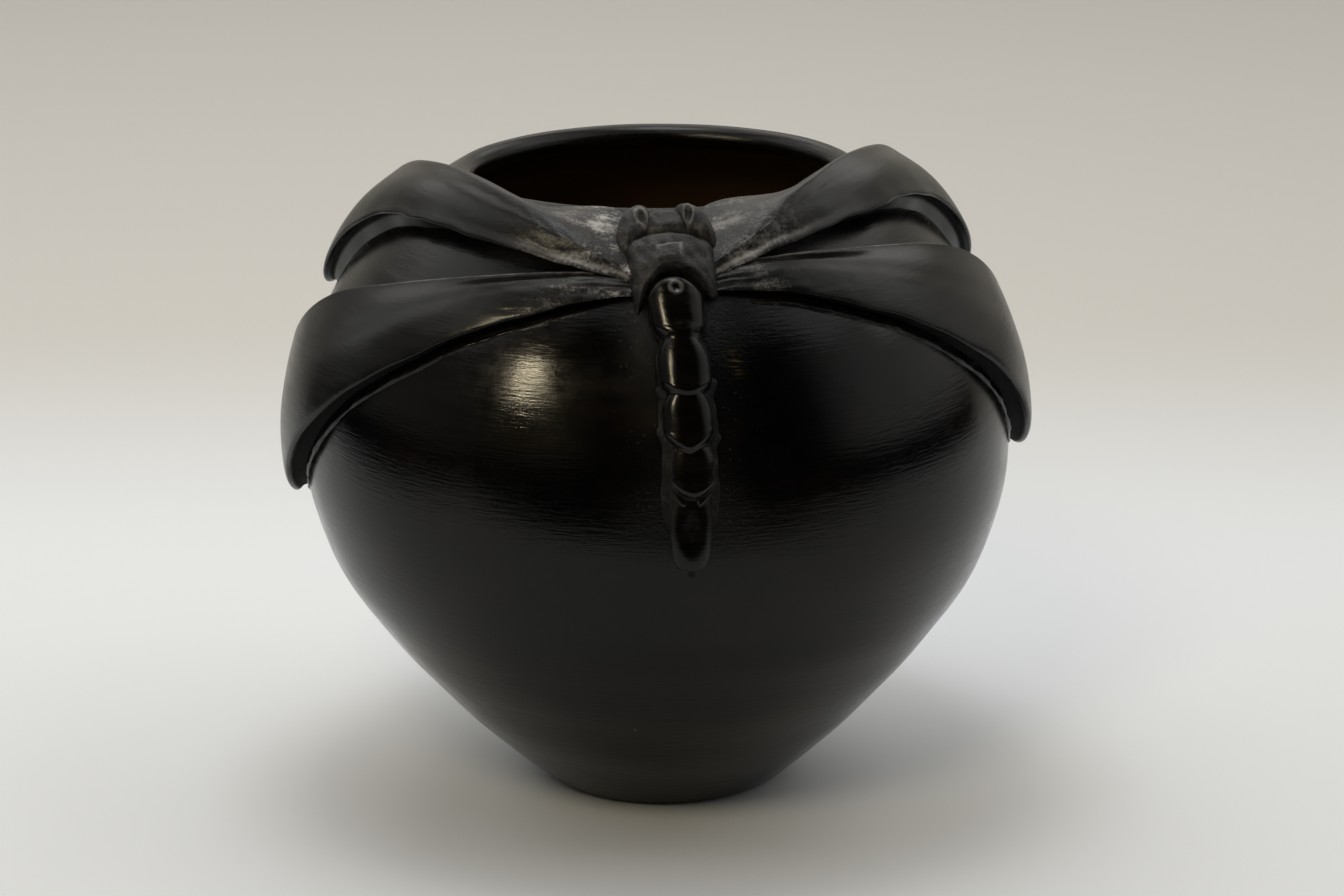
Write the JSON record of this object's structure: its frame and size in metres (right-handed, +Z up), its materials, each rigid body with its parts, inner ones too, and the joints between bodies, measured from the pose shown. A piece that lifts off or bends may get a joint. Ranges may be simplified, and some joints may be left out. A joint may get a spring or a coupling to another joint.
{
  "type": "pottery jar",
  "caption": "Round-shouldered jar of black burnished clay on a small flat base, open at the top, with a dragonfly in relief draped over its shoulder.",
  "frame": {"origin": "centre of the flat base, on the floor", "axes": "+Z up along the jar's axis, -Y towards the side that carries the dragonfly"},
  "size_m": [0.1587, 0.1522, 0.1387],
  "materials": {
    "burnished_clay": "burnished with a stone and smoke fired, satin gloss",
    "satin_clay": "smoothed and smoke fired, satin"
  },
  "bodies": {
    "root": {"base_slab": "burnished_clay", "wall_coil_1": "burnished_clay", "wall_coil_2": "burnished_clay", "wall_coil_3": "burnished_clay", "wall_coil_4": "burnished_clay", "wall_coil_5": "burnished_clay", "wall_coil_6": "burnished_clay", "rim_coil": "burnished_clay", "forewing_left": "satin_clay", "forewing_right": "satin_clay", "hindwing_left": "satin_clay", "hindwing_right": "satin_clay", "head": "satin_clay", "eye_left": "satin_clay", "eye_right": "satin_clay", "thorax": "satin_clay", "abdomen_strip": "satin_clay", "abdomen_segment_1": "satin_clay", "abdomen_segment_2": "satin_clay", "abdomen_segment_3": "satin_clay", "abdomen_segment_4": "satin_clay", "tail": "satin_clay"}
  },
  "joints": []
}
